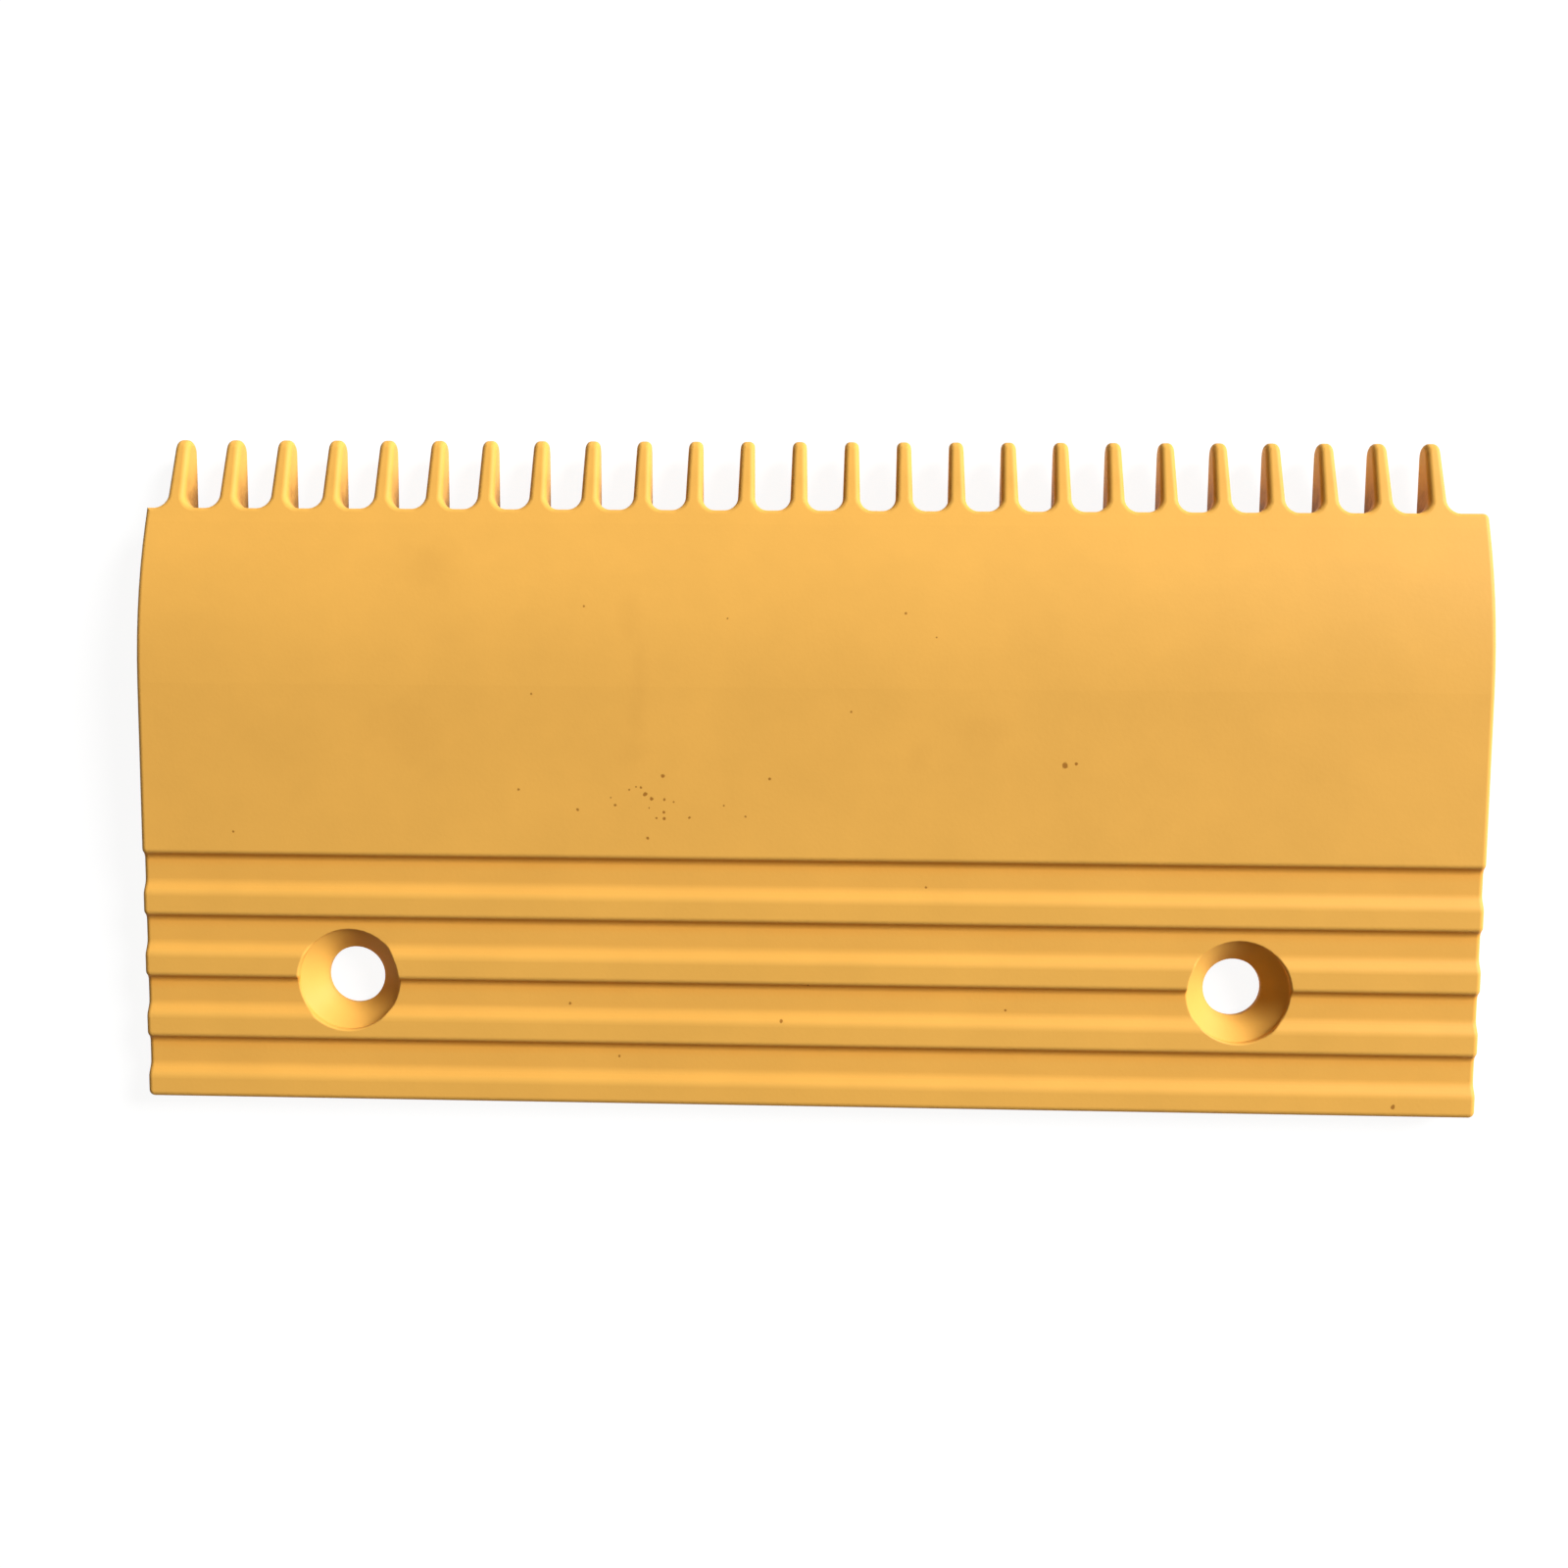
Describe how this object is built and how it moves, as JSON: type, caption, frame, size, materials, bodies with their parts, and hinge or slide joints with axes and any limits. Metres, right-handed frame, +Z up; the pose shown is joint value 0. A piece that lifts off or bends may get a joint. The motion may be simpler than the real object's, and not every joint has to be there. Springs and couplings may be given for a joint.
{
  "type": "escalator comb plate",
  "caption": "Yellow moulded escalator comb plate: a row of teeth on a curved skin, with a grooved flange and countersunk screw holes.",
  "frame": {"origin": "midway between the two screw holes, on the flat seat face under the flange", "axes": "+X across the escalator along the row of teeth, +Y out along the teeth, +Z up along the screw axes, away from the seat"},
  "size_m": [0.2173, 0.1087, 0.013],
  "materials": {
    "yellow_plastic": "moulded satin yellow plastic, slightly worn and dusty"
  },
  "bodies": {
    "root": {"comb_plate": "yellow_plastic"}
  },
  "joints": []
}
